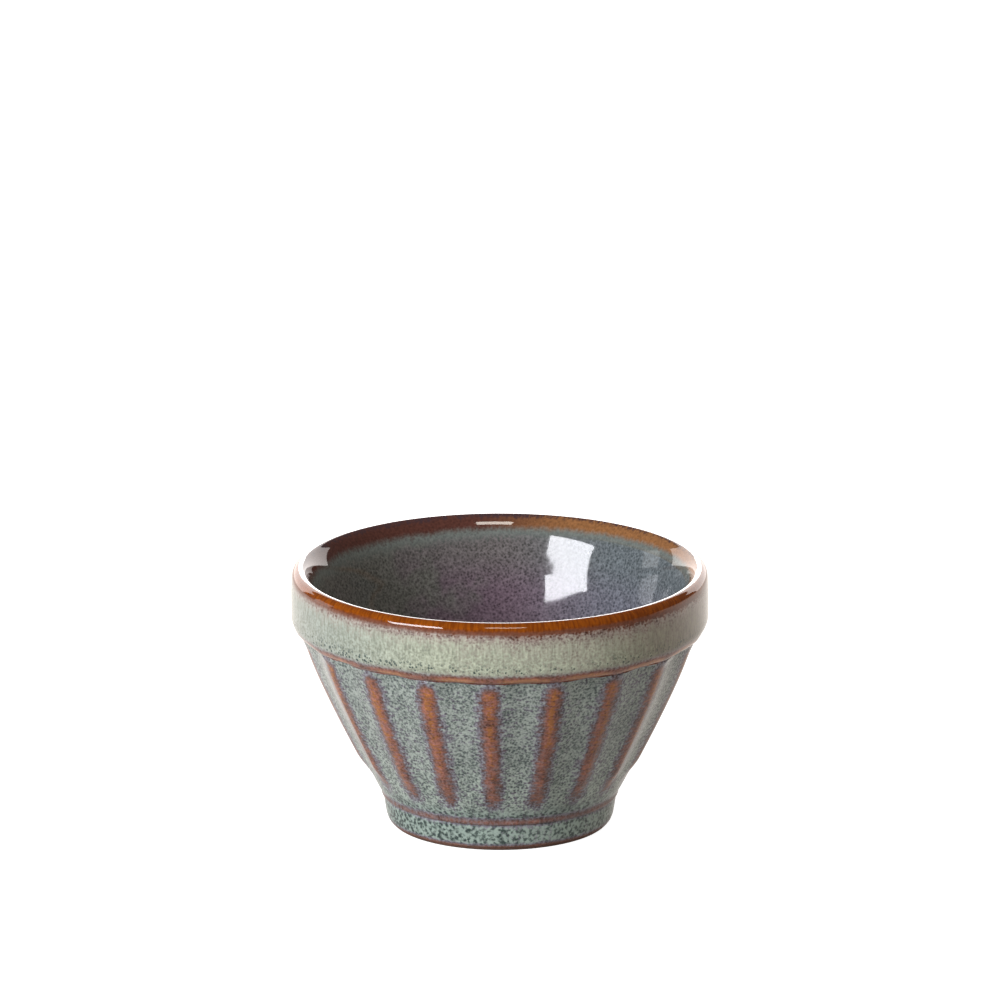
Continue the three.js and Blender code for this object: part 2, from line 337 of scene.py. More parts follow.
class Outline:
    """Stations of the clay's outline, from the middle of the underside to the middle of the floor."""

    CURVE_STEPS = 8
    BOWL_STEPS = 64
    LIP_STEPS = 12
    FLARE_STEPS = 32
    LINER_STEPS = 40
    BEND_SHARE = 0.88
    HALVINGS = 40
    SLOPE_STEP = 0.01
    LIP_THIN = 1.22
    LIP_RUN_OUTSIDE = 3.1 * MM
    LIP_THIN_INSIDE = 1.07
    LIP_RUN_INSIDE = 3.7 * MM
    LIP_RUN_FALL = 1.4
    LEAN_OUTSIDE = -0.2
    LEAN_INSIDE = 0.2
    LEAN_DEPTH = 5.0 * MM
    FOOT_LINE_WIDTH = 0.6 * MM
    FOOT_LINE_THIN = 0.75
    BEAD_LINE_WIDTH = 1.2 * MM
    BEAD_THIN = 0.6
    SHOULDER_LINE_WIDTH = 2.3 * MM
    SHOULDER_FADE = 0.9 * MM
    SHOULDER_THIN = 1.1
    SHOULDER_FALL = 4
    DIP_WIDTH = 2.0 * MM
    CREST_THIN_LOW = 0.8
    CREST_THIN_TOP = 1.0
    GATHERED_THIN = 0.42
    BARE_BEFORE_START = 0.3
    BARE_FULL = 0.5

    def __init__(self, sizes):
        self.sizes = sizes
        self.lip_centre = at(sizes.collar_radius - sizes.lip_round, sizes.clay_height - sizes.lip_round)
        self.lip_top = at(self.lip_centre.x, sizes.clay_height)
        self.collar_bottom = sizes.clay_height - sizes.collar_height
        self.shoulder = at(sizes.collar_radius - sizes.collar_tuck, self.collar_bottom)
        self.bowl_top = self.shoulder - at(sizes.shoulder_cove, sizes.cove_height)
        self.belly = self.bowl_top - at(sizes.belly_inset, sizes.belly_drop)
        self.foot_top = sizes.foot_radius + sizes.foot_flare
        self.bowl_foot = at(self.foot_top + sizes.foot_bead, sizes.foot_height)
        self.foot_inner = sizes.foot_radius - sizes.foot_ring
        self.sections = {
            "underside": self.underside(),
            "tread": self.tread(),
            "outside": self.outside(),
            "lip": self.lip(),
            "inside": self.inside(),
        }
        self.stations = [station for section in self.sections.values() for station in section]
        self.aim_outward()

    def aim_outward(self):
        """Sets each station's outward direction from the stations on both sides of it."""
        last = len(self.stations) - 1
        for index, station in enumerate(self.stations):
            before = self.stations[max(index - 1, 0)]
            after = self.stations[min(index + 1, last)]
            along = at(after.radius - before.radius, after.height - before.height)
            station.outward = at(along.y, -along.x).normalized()

    def bowl(self, share):
        """Point of the outside of the bowl."""
        return curve_point(self.bowl_foot, self.belly, self.bowl_top, share)

    def behind_bowl(self, share):
        """Point of the inside of the wall behind a point of the bowl."""
        sizes = self.sizes
        along = (self.belly - self.bowl_foot).lerp(self.bowl_top - self.belly, share).normalized()
        thickness = sizes.wall_at_foot + (sizes.wall - sizes.wall_at_foot) * share
        return self.bowl(share) + at(-along.y, along.x) * thickness

    def slope_behind_bowl(self, share):
        """Direction in which the inside of the wall goes up."""
        return self.behind_bowl(share + self.SLOPE_STEP) - self.behind_bowl(share)

    def share_behind_bowl(self, height):
        """Share of the bowl's curve where the inside of the wall has a height."""
        low, high = 0.0, 1.0
        for _ in range(self.HALVINGS):
            middle = (low + high) / 2
            if self.behind_bowl(middle).y < height:
                low = middle
            else:
                high = middle
        return low

    def wall_station(self, point, run, most, lean):
        """Station on a side of the wall, with what ran down to it from the lip.

        The run differs round the cup, most of all a little below the lip.
        """
        depth = self.sizes.clay_height - point.y
        lean_depth = depth / self.LEAN_DEPTH
        station = Station(point.x, point.y)
        station.thin = most * math.exp(-((depth / run) ** self.LIP_RUN_FALL))
        station.lean = lean * lean_depth * math.exp(1 - lean_depth)
        return station

    def outer_station(self, point):
        return self.wall_station(point, self.LIP_RUN_OUTSIDE, self.LIP_THIN, self.LEAN_OUTSIDE)

    def inner_station(self, point):
        return self.wall_station(point, self.LIP_RUN_INSIDE, self.LIP_THIN_INSIDE, self.LEAN_INSIDE)

    def underside(self):
        sizes = self.sizes
        ceiling = at(self.foot_inner - sizes.recess_curve, RECESS_DEPTH)
        corner = at(self.foot_inner, RECESS_DEPTH)
        wall = at(self.foot_inner, RECESS_DEPTH - sizes.recess_curve)
        glaze_line = at(self.foot_inner, sizes.foot_edge + sizes.bare_band)
        points = line(at(0.0, RECESS_DEPTH), ceiling) + curve(ceiling, corner, wall, self.CURVE_STEPS)
        points += line(wall, glaze_line) + [glaze_line]
        foot_line = (glaze_line, self.FOOT_LINE_WIDTH, self.FOOT_LINE_THIN)
        return [Station(p.x, p.y, edge_thin(p, *foot_line)) for p in points]

    def tread(self):
        sizes = self.sizes
        points = [
            at(self.foot_inner, sizes.foot_edge),
            at(self.foot_inner + sizes.foot_edge, 0.0),
            at(sizes.foot_radius - sizes.foot_edge, 0.0),
            at(sizes.foot_radius, sizes.foot_edge),
        ]
        return [Station(p.x, p.y) for p in points]

    def outside(self):
        sizes = self.sizes
        bead_centre = at(self.foot_top, sizes.foot_height - sizes.foot_bead)
        bead = bead_centre + at(sizes.foot_bead, 0.0)
        wall_top = at(self.foot_top, bead_centre.y - sizes.foot_bead)
        edge = at(sizes.foot_radius, sizes.foot_edge)
        glaze_line = edge.lerp(wall_top, sizes.bare_band / (wall_top.y - sizes.foot_edge))
        wall_start = at(sizes.collar_radius, self.collar_bottom + sizes.tuck_height)
        tuck = at(sizes.collar_radius, self.collar_bottom + sizes.tuck_height / 3)
        wall_stop = at(sizes.collar_radius, sizes.lip_band_outside)
        cove = at(self.bowl_top.x, self.shoulder.y)
        cove_end = self.shoulder - at(sizes.shoulder_round, 0.0)
        tuck_share = sizes.shoulder_round / (tuck - self.shoulder).length
        tuck_start = self.shoulder.lerp(tuck, tuck_share)
        points = line(glaze_line, wall_top)
        points += curve(wall_top, at(bead.x, wall_top.y), bead, self.CURVE_STEPS)
        points += line(bead, self.bowl_foot)
        points += curve(self.bowl_foot, self.belly, self.bowl_top, self.BOWL_STEPS)
        points += curve(self.bowl_top, cove, cove_end, self.CURVE_STEPS)
        points += curve(cove_end, self.shoulder, tuck_start, self.CURVE_STEPS)
        points += curve(tuck_start, tuck, wall_start, 2 * self.CURVE_STEPS)
        points += line(wall_start, wall_stop)
        stations = []
        for p in points:
            line_width = self.SHOULDER_LINE_WIDTH if p.y >= self.shoulder.y else self.SHOULDER_FADE
            station = self.outer_station(p)
            station.thin = max(
                station.thin,
                edge_thin(p, glaze_line, self.FOOT_LINE_WIDTH, self.FOOT_LINE_THIN),
                edge_thin(p, bead, self.BEAD_LINE_WIDTH, self.BEAD_THIN),
                edge_thin(p, self.shoulder, line_width, self.SHOULDER_THIN, self.SHOULDER_FALL),
            )
            station.dip = edge_thin(p, self.shoulder, self.DIP_WIDTH, 1.0)
            if self.bowl_foot.y <= p.y <= self.shoulder.y:
                self.shape_ridge(station)
            stations.append(station)
        return stations

    def shape_ridge(self, station):
        """Sets how far the ridges stand out at a station and how bare the glaze leaves them.

        They rise out of the bowl above the foot and run into the collar's edge with an arch on both sides.
        """
        sizes = self.sizes
        start = sizes.foot_height + sizes.ridge_start
        run = sizes.ridge_start_run
        below = self.shoulder.y - station.height
        in_cove = max(station.radius - self.bowl_top.x, 0.0) / sizes.shoulder_cove
        station.ridge = smooth_step(station.height, start, start + run)
        if station.height > self.bowl_top.y:
            station.ridge *= 1 - min(in_cove, 1.0)
        arch = sizes.ridge_fillet
        station.fillet = arch - math.sqrt(arch**2 - max(arch - below, 0.0) ** 2)
        bare_start = start - self.BARE_BEFORE_START * run
        early_rise = smooth_step(station.height, bare_start, start + self.BARE_FULL * run)
        gather = smooth_step(below, sizes.cove_height, sizes.cove_height + sizes.bare_stop_run)
        upward = smooth_step(station.height, start, self.bowl_top.y)
        crest_thin = self.CREST_THIN_LOW + (self.CREST_THIN_TOP - self.CREST_THIN_LOW) * upward
        station.bare = early_rise * (self.GATHERED_THIN + (crest_thin - self.GATHERED_THIN) * gather)

    def flare(self, share):
        """Point of the flare between the top of the lip and the inside of the wall."""
        sizes = self.sizes
        corner = self.lip_top - at(sizes.flare_corner, 0.0)
        end = self.lip_top - at(sizes.flare_reach, sizes.flare_depth)
        return curve_point(self.lip_top, corner, end, share)

    def flare_rows(self):
        """Points of the flare on the lip's coat and points of the rest of it."""
        steps = self.FLARE_STEPS
        stop = math.sqrt((self.sizes.clay_height - self.sizes.lip_band_inside) / self.sizes.flare_depth)
        on_lip = [self.flare(stop * step / steps) for step in range(steps)]
        below = [self.flare(stop + (1 - stop) * step / steps) for step in range(steps)]
        return on_lip, below

    def lip(self):
        start = at(self.sizes.collar_radius, self.sizes.lip_band_outside)
        turn = [math.pi / 2 * step / self.LIP_STEPS for step in range(self.LIP_STEPS)]
        points = line(start, at(start.x, self.lip_centre.y))
        points += [self.lip_centre + at(math.cos(a), math.sin(a)) * self.sizes.lip_round for a in turn]
        outer = [self.outer_station(p) for p in points]
        return outer + [self.inner_station(p) for p in self.flare_rows()[0]]

    def inside(self):
        steps = self.LINER_STEPS
        bend_share = self.BEND_SHARE

        # The straight stretch under the flare bends into the wall
        flare_end = self.flare(1.0)
        bend_end = self.behind_bowl(bend_share)
        bend_slope = self.slope_behind_bowl(bend_share)
        straight = self.behind_bowl(1.0) - flare_end
        reach = (bend_end - flare_end).cross(bend_slope) / straight.cross(bend_slope)
        bend = flare_end + straight * reach
        bend_start = bend - straight.normalized() * (bend - bend_end).length

        # The wall curves into the floor
        floor_curve = self.sizes.floor_curve
        low = self.share_behind_bowl(FLOOR_TOP + floor_curve)
        curve_start = self.behind_bowl(low)
        slope = self.slope_behind_bowl(low)
        corner = at(curve_start.x - floor_curve * slope.x / slope.y, FLOOR_TOP)
        curve_end = at(corner.x - (corner - curve_start).length, FLOOR_TOP)
        middle = at(0.0, FLOOR_TOP)

        points = self.flare_rows()[1] + line(flare_end, bend_start)
        points += curve(bend_start, bend, bend_end, steps // 2)
        shares = [bend_share + (low - bend_share) * step / steps for step in range(steps)]
        points += [self.behind_bowl(share) for share in shares]
        points += curve(curve_start, corner, curve_end, steps // 2)
        points += line(curve_end, middle) + [middle]
        return [self.inner_station(p) for p in points]

    def coat(self, name):
        """Rows round a coat of glaze, up to the next section, with 1 on its face and 0 on the clay."""
        section = self.sections[name]
        first = self.stations.index(section[0])
        face = self.stations[first : first + len(section)]
        if name in ("outside", "lip"):
            face.append(self.stations[first + len(section)])
        back = thinned(face, BACK_ROW_EVERY)[::-1]
        return [(row, 1.0) for row in face] + [(row, 0.0) for row in back] + [(face[0], 1.0)]

    def clay(self):
        """Rows of the clay body, with fewer of them under the glaze."""
        rows = []
        for name, section in self.sections.items():
            rows += section if name == "tread" else thinned(section, CLAY_ROW_EVERY)
        return [(row, 0.0) for row in rows]


# Node trees


class Tree:
    """Short calls that add and wire nodes in one node tree."""

    def __init__(self, tree):
        self.tree = tree

    def add(self, kind, inputs=None, **settings):
        """Adds a node, sets it up and feeds its inputs with values or with other nodes' outputs."""
        node = self.tree.nodes.new(kind)
        for name, value in settings.items():
            setattr(node, name, value)
        self.fill(node, inputs or {})
        return node

    def out(self, kind, inputs=None, **settings):
        """First output of a new node."""
        return self.add(kind, inputs, **settings).outputs[0]

    def fill(self, node, inputs):
        for name, value in inputs.items():
            socket = node.inputs[name]
            if isinstance(value, bpy.types.NodeSocket):
                self.tree.links.new(value, socket)
            elif socket.type == "RGBA":
                socket.default_value = (*value, 1.0)
            else:
                socket.default_value = value

    def math(self, operation, *operands):
        return self.out("ShaderNodeMath", dict(enumerate(operands)), operation=operation)

    def plus(self, first, second):
        return self.math("ADD", first, second)

    def minus(self, first, second):
        return self.math("SUBTRACT", first, second)

    def over(self, first, second):
        return self.math("DIVIDE", first, second)

    def times(self, first, *others):
        for other in others:
            first = self.math("MULTIPLY", first, other)
        return first

    def smooth(self, value, low, high):
        """0 below low, 1 above high and smooth between."""
        inputs = {"Value": value, "From Min": low, "From Max": high}
        return self.out("ShaderNodeMapRange", inputs, interpolation_type="SMOOTHSTEP")

    def lerp(self, share, first, second):
        """Value between two values."""
        return self.out("ShaderNodeMix", {0: share, 2: first, 3: second})

    def mix(self, share, first, second):
        """Colour between two colours."""
        return self.add("ShaderNodeMix", {0: share, 6: first, 7: second}, data_type="RGBA").outputs[2]

    def noise(self, vector, scale, detail=2.0, roughness=0.5):
        inputs = {"Vector": vector, "Scale": scale, "Detail": detail, "Roughness": roughness}
        return self.out("ShaderNodeTexNoise", inputs)

    def interface(self, in_out, kind, *names):
        for name in names:
            self.tree.interface.new_socket(name=name, in_out=in_out, socket_type=kind)


def node_group(name, kind, build):
    """The node group of that name, built when it is first asked for."""
    group = bpy.data.node_groups.get(name)
    if group is None:
        group = bpy.data.node_groups.new(name, kind)
        build(Tree(group))
    return group


def build_fluted_revolve(t):
    """Tree that turns an outline into a closed fluted body.

    The outline comes in as loose vertices, x being the radius and z the height, that hold what each row of
    the body needs: outward, lift, thin, ridge, bare, fillet, lean and dip.
    """
    t.interface("INPUT", "NodeSocketGeometry", "Outline")
    t.interface("INPUT", "NodeSocketInt", "Columns", "Ridges")
    t.interface("INPUT", "NodeSocketFloat", "Ridge Height", "Ridge Land", "Bare Width")
    t.interface("INPUT", "NodeSocketFloat", "Pooled", "On Edges", "Dip", "Lean Angle")
    t.interface("INPUT", "NodeSocketMaterial", "Finish")
    t.interface("OUTPUT", "NodeSocketGeometry", "Body")
    given = t.add("NodeGroupInput").outputs

    # A grid with a row for each vertex of the outline and a column for each step round the axis
    counts = t.add("GeometryNodeAttributeDomainSize", {0: given["Outline"]}, component="MESH")
    rows = counts.outputs["Point Count"]
    columns = t.plus(given["Columns"], 1)
    grid = t.add("GeometryNodeMeshGrid", {"Vertices X": columns, "Vertices Y": rows}).outputs["Mesh"]
    index = t.out("GeometryNodeInputIndex")
    column = t.math("FLOOR", t.over(t.plus(index, 0.5), rows))
    row = t.minus(index, t.times(column, rows))
    turn = t.over(t.times(column, 2 * math.pi), given["Columns"])

    def from_outline(value, data_type):
        inputs = {"Geometry": given["Outline"], "Index": row, "Value": value}
        return t.out("GeometryNodeSampleIndex", inputs, data_type=data_type)

    def stored(attribute, data_type="FLOAT"):
        value = t.add("GeometryNodeInputNamedAttribute", {"Name": attribute}, data_type=data_type)
        return from_outline(value.outputs["Attribute"], data_type)

    on_outline = from_outline(t.out("GeometryNodeInputPosition"), "FLOAT_VECTOR")
    place = t.add("ShaderNodeSeparateXYZ", {0: on_outline}).outputs
    radius, height = place["X"], place["Z"]
    outward = t.add("ShaderNodeSeparateXYZ", {0: stored("outward", "FLOAT_VECTOR")}).outputs

    # Height of the ridge: a rounded crest, then a hollow flank down to the middle of the flute
    pitch = t.over(2 * math.pi, given["Ridges"])
    nearest = t.times(t.math("ROUND", t.over(turn, pitch)), pitch)
    across = t.times(t.math("ABSOLUTE", t.minus(turn, nearest)), radius)
    land = t.times(given["Ridge Land"], 0.5)
    beside = t.math("MAXIMUM", t.minus(across, stored("fillet")), 0)
    rounded = t.math("SQRT", t.plus(t.math("POWER", beside, 2), t.math("POWER", land, 2)))
    reach = t.math("MAXIMUM", t.minus(t.times(pitch, radius, 0.5), land), land)
    flank = t.math("MINIMUM", t.over(t.minus(rounded, land), reach), 1)
    crest = t.math("POWER", t.minus(1, flank), 2)
    share = t.times(crest, stored("ridge"))

    # Glaze runs thin on the ridges and on the edges of the outline, and less so where the two meet
    near = t.math("POWER", t.over(across, given["Bare Width"]), 2)
    bare = t.times(t.math("EXPONENT", t.times(near, -1)), stored("bare"))
    dip = t.times(crest, stored("dip"))
    side = t.math("COSINE", t.minus(turn, given["Lean Angle"]))
    thin = t.plus(stored("thin"), t.times(stored("lean"), side))
    thin = t.minus(thin, t.times(dip, LINE_BREAK))
    pooled = t.times(t.minus(1, thin), t.minus(1, bare))
    filled = t.math("MINIMUM", t.math("MAXIMUM", pooled, 0), 1)
    spread = t.minus(given["Pooled"], given["On Edges"])
    depth = t.times(t.plus(given["On Edges"], t.times(spread, filled)), stored("lift"))

    clay_radius = t.plus(radius, t.times(share, given["Ridge Height"]))
    body_radius = t.plus(clay_radius, t.times(depth, outward["X"]))
    body_height = t.minus(t.plus(height, t.times(depth, outward["Z"])), t.times(dip, given["Dip"]))
    places = {
        "X": t.times(body_radius, t.math("COSINE", turn)),
        "Y": t.times(body_radius, t.math("SINE", turn)),
        "Z": body_height,
    }
    position = t.out("ShaderNodeCombineXYZ", places)
    body = t.out("GeometryNodeSetPosition", {"Geometry": grid, "Position": position})
    kept_thin = {"Geometry": body, "Name": "thin", "Value": t.minus(1, pooled)}
    body = t.out("GeometryNodeStoreNamedAttribute", kept_thin, data_type="FLOAT", domain="POINT")
    body = t.out("GeometryNodeMergeByDistance", {"Geometry": body, "Distance": MERGE_DISTANCE})
    body = t.out("GeometryNodeSetShadeSmooth", {"Geometry": body})
    bend = t.add("GeometryNodeInputMeshEdgeAngle").outputs["Unsigned Angle"]
    crisp = t.out("FunctionNodeCompare", {0: bend, 1: SHARP_ANGLE}, operation="GREATER_THAN")
    crisp_edges = {"Geometry": body, "Selection": crisp, "Shade Smooth": False}
    body = t.out("GeometryNodeSetShadeSmooth", crisp_edges, domain="EDGE")
    body = t.out("GeometryNodeRealizeInstances", {"Geometry": body})
    body = t.out("GeometryNodeSetMaterial", {"Geometry": body, "Material": given["Finish"]})
    t.add("NodeGroupOutput", {"Body": body})


def outline_mesh(name, rows):
    """Loose vertices of an outline, with what each row of the body needs."""
    mesh = bpy.data.meshes.new(name)
    mesh.from_pydata([(station.radius, 0.0, station.height) for station, _ in rows], [], [])
    columns = {"lift": [lift for _, lift in rows]}
    for attribute in ("thin", "ridge", "bare", "fillet", "lean", "dip"):
        columns[attribute] = [getattr(station, attribute) for station, _ in rows]
    for attribute, values in columns.items():
        mesh.attributes.new(attribute, "FLOAT", "POINT").data.foreach_set("value", values)
    outward = mesh.attributes.new("outward", "FLOAT_VECTOR", "POINT")
    directions = [(station.outward.x, 0.0, station.outward.y) for station, _ in rows]
    outward.data.foreach_set("vector", [part for direction in directions for part in direction])
    return mesh


def revolved_piece(name, node, rows, finish, sizes):
    """Builds one piece over a CAD node and hands it to the frame."""
    piece = bpy.data.objects.new(name, outline_mesh(name, rows))
    bpy.context.scene.collection.objects.link(piece)
    modifier = piece.modifiers.new("Fluted revolve", "NODES")
    modifier.node_group = node_group("Fluted revolve", "GeometryNodeTree", build_fluted_revolve)
    values = {
        "Columns": sizes.ridges * COLUMNS_PER_RIDGE,
        "Ridges": sizes.ridges,
        "Ridge Height": sizes.ridge_height,
        "Ridge Land": sizes.ridge_land,
        "Bare Width": sizes.bare_width,
        "Pooled": sizes.glaze_pooled,
        "On Edges": sizes.glaze_edges,
        "Dip": sizes.shoulder_dip,
        "Lean Angle": sizes.lean_angle,
        "Finish": finish,
    }
    for socket in modifier.node_group.interface.items_tree:
        if socket.name in values:
            modifier[socket.identifier] = values[socket.name]
    evaluated = bpy.context.evaluated_depsgraph_get()
    mesh = bpy.data.meshes.new_from_object(
        piece.evaluated_get(evaluated), preserve_all_data_layers=True, depsgraph=evaluated
    )
    if not mesh.polygons:
        raise RuntimeError(f"{name} came out empty")
    piece.modifiers.clear()
    piece.data = mesh
    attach(piece, BODY)
    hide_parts(node)


# Materials


def build_glaze_patterns(t):
    """Shader group of the patterns that all the glazes share, all read from the place on the cup."""
    t.interface("INPUT", "NodeSocketVector", "Coordinates")
    t.interface("OUTPUT", "NodeSocketFloat", "Mottle", "Blotch", "Patch", "Cloud", "Speck")
    t.interface("OUTPUT", "NodeSocketFloat", "Streak", "Hair", "Bristle")
    coordinates = t.add("NodeGroupInput").outputs["Coordinates"]

    # Coordinates that are stretched down the wall, for what ran in the kiln
    parts = t.add("ShaderNodeSeparateXYZ", {0: coordinates}).outputs
    flat = t.out("ShaderNodeCombineXYZ", {"X": parts["X"], "Y": parts["Y"]})
    round_axis = t.out("ShaderNodeVectorMath", {0: flat}, operation="NORMALIZE")
    around = t.add("ShaderNodeSeparateXYZ", {0: round_axis}).outputs
    run_places = {
        "X": t.times(around["X"], RUN_RADIUS),
        "Y": t.times(around["Y"], RUN_RADIUS),
        "Z": t.times(parts["Z"], RUN_STRETCH),
    }
    running = t.out("ShaderNodeCombineXYZ", run_places)

    # Coordinates that are stretched round the wall, for short strokes across the ridges
    stretch = (BRISTLE_STRETCH, BRISTLE_STRETCH, 1.0)
    across = t.out("ShaderNodeVectorMath", {0: coordinates, 1: stretch}, operation="MULTIPLY")

    def cells_of(scale):
        return t.add("ShaderNodeTexVoronoi", {"Vector": coordinates, "Scale": scale}).outputs

    def dark_dots(cell_scale, grain_scale):
        """Dark dots in a pale net, roughened by fine grain."""
        net = t.smooth(cells_of(cell_scale)["Distance"], *NET_CONTRAST)
        grain = t.smooth(t.noise(coordinates, grain_scale), *GRAIN_CONTRAST)
        return t.plus(t.times(net, 0.5), t.times(grain, 0.5))

    # Specks lie in some of the cells only, and differ in size
    speck_cells = cells_of(SPECK_CELLS)
    chosen = t.out("ShaderNodeSeparateColor", {0: speck_cells["Color"]})
    speck_size = t.minus(t.times(chosen, 0.9), 0.2)
    outputs = {
        "Mottle": dark_dots(MOTTLE_CELLS, MOTTLE_GRAIN),
        "Blotch": dark_dots(BLOTCH_CELLS, BLOTCH_GRAIN),
        "Patch": t.noise(coordinates, PATCHES),
        "Cloud": t.noise(coordinates, CLOUDS),
        "Speck": t.smooth(t.minus(speck_size, speck_cells["Distance"]), *SPECK_CONTRAST),
        "Streak": t.noise(running, STREAKS, roughness=0.6),
        "Hair": t.noise(running, HAIRS, detail=1.0),
        "Bristle": t.noise(across, BRISTLES, detail=1.0),
    }
    t.add("NodeGroupOutput", outputs)


def build_breaking_glaze(t):
    """Shader group of a glaze that breaks from its pooled colour to rust and amber as it gets thin."""
    t.interface("INPUT", "NodeSocketFloat", "Thin", "Grain", "Gloss")
    t.interface("INPUT", "NodeSocketColor", "Pool", "Haze", "Fringe Dark", "Fringe Pale")
    t.interface("INPUT", "NodeSocketColor", "Rust", "Amber", "Lip Amber")
    t.interface("OUTPUT", "NodeSocketColor", "Colour")
    t.interface("OUTPUT", "NodeSocketFloat", "Roughness")
    given = t.add("NodeGroupInput").outputs
    thin = given["Thin"]
    darken = t.plus(THIN_DARKEST, t.times(given["Grain"], THIN_SPREAD))
    fringe = t.mix(given["Grain"], given["Fringe Dark"], given["Fringe Pale"])
    rust = t.out("ShaderNodeVectorMath", {0: given["Rust"], 3: darken}, operation="SCALE")
    amber = t.out("ShaderNodeVectorMath", {0: given["Amber"], 3: darken}, operation="SCALE")
    on_rust = t.smooth(thin, *TO_RUST)
    colours = t.mix(t.smooth(thin, *TO_HAZE), given["Pool"], given["Haze"])
    colours = t.mix(t.smooth(thin, *TO_FRINGE), colours, fringe)
    colours = t.mix(on_rust, colours, rust)
    colours = t.mix(t.smooth(thin, *TO_AMBER), colours, amber)
    colours = t.mix(t.smooth(thin, *TO_LIP_AMBER), colours, given["Lip Amber"])
    roughness = t.minus(given["Gloss"], t.times(on_rust, THIN_SMOOTHER))
    t.add("NodeGroupOutput", {"Colour": colours, "Roughness": roughness})


def fresh_material(name):
    """A material with its own empty Principled shader."""
    material = bpy.data.materials.new(name)
    material.use_nodes = True
    shader = material.node_tree.nodes["Principled BSDF"]
    return material, Tree(material.node_tree), shader


class GlazeMaterial:
    """One coat of glaze: its patterns, its zones by height and its breaking colours."""

    def __init__(self, name, sizes, colours):
        self.sizes = sizes
        self.colours = colours
        self.material, self.t, self.shader = fresh_material(name)
        t = self.t
        coordinates = t.add("ShaderNodeTexCoord").outputs["Object"]
        self.parts = t.add("ShaderNodeSeparateXYZ", {0: coordinates}).outputs
        group = node_group("Glaze patterns", "ShaderNodeTree", build_glaze_patterns)
        self.patterns = t.add("ShaderNodeGroup", {"Coordinates": coordinates}, node_tree=group).outputs
        self.thin = t.add("ShaderNodeAttribute", attribute_name="thin").outputs["Fac"]

    def above(self, base, start):
        """0 below the start of a zone over a base height and 1 past it."""
        low, high = start
        return self.t.smooth(self.parts["Z"], base + low, base + high)

    def between(self, low_base, start, high_base, stop):
        """1 in a band of heights and 0 outside it."""
        return self.t.times(self.above(low_base, start), self.t.minus(1, self.above(high_base, stop)))

    def tone(self, share, name):
        """Colour between the dark and the pale part of a glaze."""
        dark = getattr(self.colours, f"{name}_dark")
        pale = getattr(self.colours, f"{name}_pale")
        return self.t.mix(share, dark, pale)

    def jittered(self, streak, grain, cloud):
        """Thinness of the glaze with streaks, grain and clouds, each as far as asked."""
        t = self.t
        thin = self.thin
        for pattern, amount in (("Streak", streak), ("Mottle", -grain), ("Cloud", cloud)):
            thin = t.plus(thin, t.times(t.minus(self.patterns[pattern], 0.5), amount))
        return thin

    def lip_streaks(self):
        """Amber of the lip with its dark streaks."""
        streak = self.t.smooth(self.patterns["Hair"], *LIP_HAIR_CONTRAST)
        return self.t.mix(streak, self.colours.lip_brown, self.colours.lip_amber)

    def run_colours(self):
        """Colours of what ran down inside from the lip: red on the left, golden on the right."""
        t = self.t
        colours = self.colours
        right = t.smooth(self.parts["X"], *RUN_RIGHT)
        run = t.mix(right, colours.run_red, colours.run_gold)
        return {
            "Grain": t.lerp(RUN_GRAIN, 0.5, self.patterns["Mottle"]),
            "Fringe Dark": colours.run_fringe_dark,
            "Fringe Pale": colours.run_fringe_pale,
            "Rust": run,
            "Amber": run,
            "Lip Amber": colours.lip_edge,
        }

    def finish(self, pool, thin, gloss, ior, changes=None):
        """Breaks the pooled colour where the glaze is thin and wires the shader."""
        t = self.t
        colours = self.colours
        inputs = {
            "Thin": thin,
            "Grain": t.plus(self.patterns["Mottle"], t.minus(self.patterns["Patch"], 0.5)),
            "Gloss": gloss,
            "Pool": pool,
            "Haze": pool,
            "Fringe Dark": colours.fringe_dark,
            "Fringe Pale": colours.fringe_pale,
            "Rust": colours.rust,
            "Amber": colours.amber,
            "Lip Amber": colours.lip_amber,
            **(changes or {}),
        }
        group = node_group("Breaking glaze", "ShaderNodeTree", build_breaking_glaze)
        broken = t.add("ShaderNodeGroup", inputs, node_tree=group).outputs
        relief = {**RELIEF, "Height": self.patterns["Cloud"]}
        finished = {
            "Base Color": broken["Colour"],
            "Roughness": broken["Roughness"],
            "Normal": t.out("ShaderNodeBump", relief),
            "IOR": ior,
        }
        t.fill(self.shader, finished)
        return self.material


